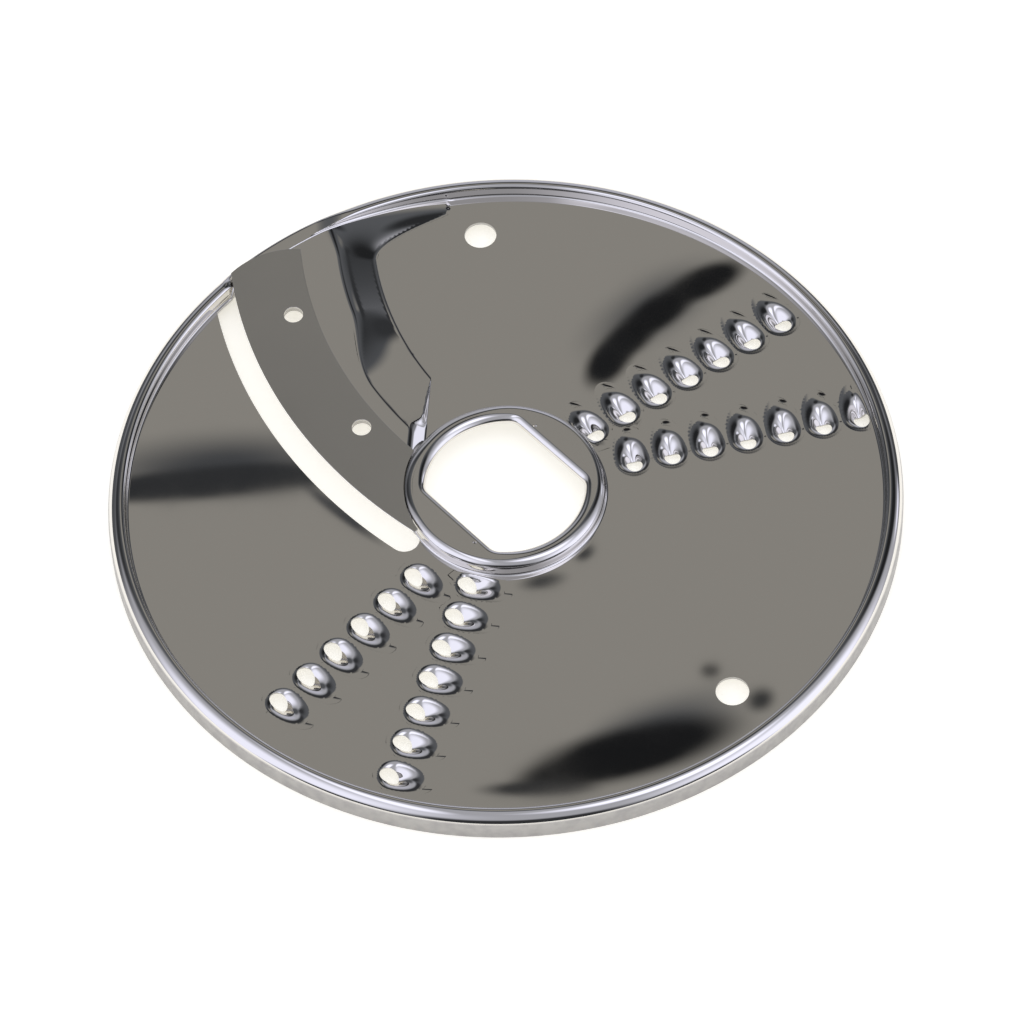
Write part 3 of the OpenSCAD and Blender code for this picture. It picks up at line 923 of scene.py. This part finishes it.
# Cards on a round chart of the sky: its middle is straight up, its edge is the horizon, and the
# camera stands towards -Y. Each has its place, size, turn in degrees, brightness and core.
room_cards = [
    ((-0.60, -0.30), (0.60, 0.52), 0, 1.20, 0.4),
    ((0.74, -0.30), (0.60, 0.56), 0, 1.30, 0.4),
    ((0.00, -0.85), (0.50, 0.36), 0, 0.04, 0.55),
    ((-0.62, -0.74), (0.46, 0.26), -40, 0.06, 0.4),
    ((0.62, -0.74), (0.46, 0.26), 40, 0.06, 0.4),
    ((0.17, -0.08), (0.20, 0.17), 0, 1.50, 0.4),
    ((-0.13, -0.06), (0.07, 0.26), 0, 1.40, 0.3),
    ((-0.62, 0.58), (0.50, 0.38), 40, 0.10, 0.5),
    ((0.60, 0.66), (0.42, 0.36), -40, 0.08, 0.5),
    ((0.08, 0.74), (0.24, 0.22), 0, 0.60, 0.3),
    ((0.03, 0.34), (0.60, 0.24), 0, 0.12, 0.5),
    ((0.03, 0.19), (0.18, 0.09), 0, 0.12, 0.3),
    ((0.28, 0.29), (0.22, 0.20), 0, 0.02, 0.3),
    ((-0.30, 0.33), (0.22, 0.16), 0, 0.04, 0.2),
    ((-0.015, 0.315), (0.085, 0.12), 0, 0.295, 0.75),
    ((-0.04, 0.43), (0.22, 0.08), 0, 0.04, 0.3),
    ((0.06, 0.19), (0.06, 0.06), 0, 0.03, 0.3),
    ((0.14, 0.44), (0.06, 0.05), 20, 0.29, 0.5),
    ((0.21, 0.43), (0.05, 0.07), 20, 0.04, 0.3),
    ((0.31, 0.48), (0.08, 0.06), 20, 0.07, 0.3),
    ((0.075, 0.39), (0.022, 0.06), 33, 0.02, 0.2),
    ((0.66, 0.37), (0.13, 0.10), 0, 1.10, 0.3),
]
# Cards that the flat plate mirrors, placed by the point of the plate that shows them, in mm.
plate_cards = [
    ((-52, 9), (34, 10), 0, 0.07, 0.1),
    ((-54, 5.2), (34, 4.6), 2, 0.035, 0.55),
    ((-30.5, -2.5), (13, 1.8), -45, 0.06, 0.3),
    ((29, 40.5), (21, 9), 36, 0.08, 0.0),
    ((39, 46), (11, 4.6), 28, 0.012, 0.5),
    ((30, 39.4), (11, 4.8), 38, 0.012, 0.5),
    ((24.5, 34), (9, 4.6), 47, 0.012, 0.5),
    ((20.5, 29), (9, 4.6), 58, 0.015, 0.5),
    ((25, -53), (21, 8), 20, 0.09, 0.1),
    ((20, -57.5), (25, 7), 14, 0.012, 0.5),
    ((12, -60.5), (16, 4.2), 12, 0.012, 0.5),
    ((3, -64.5), (13, 2.2), -2, 0.03, 0.4),
    ((35, -41.4), (2.6, 2.0), 0, 0.02, 0.3),
    ((43.5, -48), (3.8, 3.2), 40, 0.03, 0.2),
    ((6, -20), (6, 2.4), 10, 0.04, 0.2),
    ((14, -14), (3.2, 2.2), 45, 0.04, 0.2),
]
place = tree.nodes.new("ShaderNodeTexCoord")
parts = tree.nodes.new("ShaderNodeSeparateXYZ")
new_link(tree, place.outputs["Generated"], parts.inputs[0])
up = parts.outputs["Z"]
above = room_math("ADD", room_math("MAXIMUM", up, 0), 1)
chart = flattened(place.outputs["Generated"], room_math("DIVIDE", 1, above), (0, 0, 0))
above = room_math("MAXIMUM", up, lowest_up)
plate_view = flattened(place.outputs["Generated"], room_math("DIVIDE", camera_rise, above),
                       (0, camera_y, 0))
colour = (*room_grey, 1)
for place_xy, size, turn, level, core in room_cards:
    colour = studio_card(colour, chart, place_xy, size, turn, level, core)
for place_xy, size, turn, level, core in plate_cards:
    colour = studio_card(colour, plate_view, place_xy, size, turn, level, core)
new_link(tree, colour, mirrored.inputs["Color"])

# Camera. It stands at the place and angle from which the disc was photographed, with the long
# lens that the disc's rim and collar fit.
camera_lens = 198.7
camera_turns = (54.62, 0.10, -2.73)
camera_data = bpy.data.cameras.new("camera")
camera_data.sensor_fit = "HORIZONTAL"
camera_data.sensor_width = 36
camera_data.lens = camera_lens
camera_data.clip_end = 20
camera = bpy.data.objects.new("camera", camera_data)
pitch, yaw, roll = (math.radians(a) for a in camera_turns)
ahead = math.cos(pitch)
forward = Vector((math.sin(yaw) * ahead, math.cos(yaw) * ahead, -math.sin(pitch)))
level = Vector((math.cos(yaw), -math.sin(yaw), 0))
upright = level.cross(forward)
side = math.cos(roll) * level + math.sin(roll) * upright
top = -math.sin(roll) * level + math.cos(roll) * upright
turned = Matrix((side, top, -forward)).transposed().to_4x4()
turned.translation = Vector((0, camera_y, camera_rise + plate_z)) * mm
camera.matrix_world = turned
bpy.context.scene.collection.objects.link(camera)
bpy.context.scene.camera = camera
bpy.context.scene.view_settings.view_transform = "Standard"
